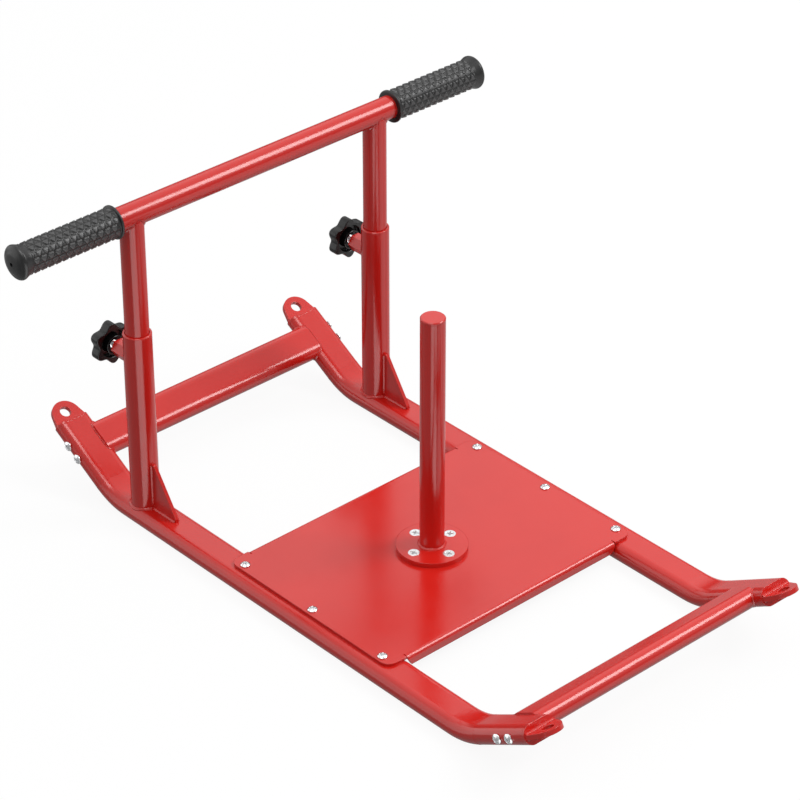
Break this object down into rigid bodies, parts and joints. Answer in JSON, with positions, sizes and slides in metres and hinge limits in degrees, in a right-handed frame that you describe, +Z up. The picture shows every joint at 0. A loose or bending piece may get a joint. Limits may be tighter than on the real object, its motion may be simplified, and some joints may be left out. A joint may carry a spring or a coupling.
{
  "type": "drag sled",
  "caption": "Weight sled on two bent skid tubes, with a deck plate, a post for weight plates, tow lugs, and a telescoping push handle held by clamp knobs.",
  "frame": {"origin": "on the floor under the middle of the sled's overall box", "axes": "+X across the sled, +Y along the skid tubes towards the handle, +Z up"},
  "size_m": [0.608, 0.7488, 0.3757],
  "materials": {
    "powder_coat": "glossy red powder coat on steel",
    "zinc_plate": "bright zinc plated steel",
    "grip_rubber": "moulded rubber with a raised basket-weave relief",
    "knob_plastic": "satin moulded plastic"
  },
  "bodies": {
    "frame": {"left_runner": "powder_coat", "right_runner": "powder_coat", "left_front_end_plate": "powder_coat", "right_front_end_plate": "powder_coat", "left_rear_end_plate": "powder_coat", "right_rear_end_plate": "powder_coat", "left_front_tow_lug": "powder_coat", "right_front_tow_lug": "powder_coat", "left_rear_tow_lug": "powder_coat", "right_rear_tow_lug": "powder_coat", "front_cross_tube": "powder_coat", "rear_cross_tube": "powder_coat", "front_cross_tube_plugs": "zinc_plate", "rear_cross_tube_plugs": "zinc_plate", "cross_tube_bolts": "zinc_plate", "deck_plate": "powder_coat", "deck_screws": "zinc_plate", "post_flange": "powder_coat", "post_screws": "zinc_plate", "post_nuts": "zinc_plate", "weight_post": "powder_coat", "post_cap": "powder_coat", "post_weld_bead": "powder_coat", "left_upright": "powder_coat", "right_upright": "powder_coat", "left_gusset": "powder_coat", "right_gusset": "powder_coat", "left_clamp_boss": "powder_coat", "right_clamp_boss": "powder_coat"},
    "handle": {"handlebar": "powder_coat", "left_inner_tube": "powder_coat", "right_inner_tube": "powder_coat", "left_grip": "grip_rubber", "right_grip": "grip_rubber"},
    "left_clamp_screw": {"left_clamp_stud": "zinc_plate"},
    "right_clamp_screw": {"right_clamp_stud": "zinc_plate"},
    "left_clamp_head": {"left_clamp_knob": "knob_plastic"},
    "right_clamp_head": {"right_clamp_knob": "knob_plastic"}
  },
  "joints": [
    {"name": "handle_slide", "type": "slide", "parent": "frame", "child": "handle", "axis": [0, 0, 1], "range_m": [-0.11, 0.03]},
    {"name": "left_clamp_feed", "type": "slide", "parent": "frame", "child": "left_clamp_screw", "axis": [0, 1, 0], "range_m": [0, 0.0075]},
    {"name": "left_clamp_turn", "type": "hinge", "parent": "left_clamp_screw", "child": "left_clamp_head", "pos_m": [-0.15925, 0.275, 0.192], "axis": [0, 1, 0], "range_deg": [0, 1800]},
    {"name": "right_clamp_feed", "type": "slide", "parent": "frame", "child": "right_clamp_screw", "axis": [0, 1, 0], "range_m": [0, 0.0075]},
    {"name": "right_clamp_turn", "type": "hinge", "parent": "right_clamp_screw", "child": "right_clamp_head", "pos_m": [0.15925, 0.275, 0.192], "axis": [0, 1, 0], "range_deg": [0, 1800]}
  ],
  "couplings": [
    {"joint": "left_clamp_feed", "follows": "left_clamp_turn", "m_per_rad": 0.0002387},
    {"joint": "right_clamp_feed", "follows": "right_clamp_turn", "m_per_rad": 0.0002387}
  ]
}
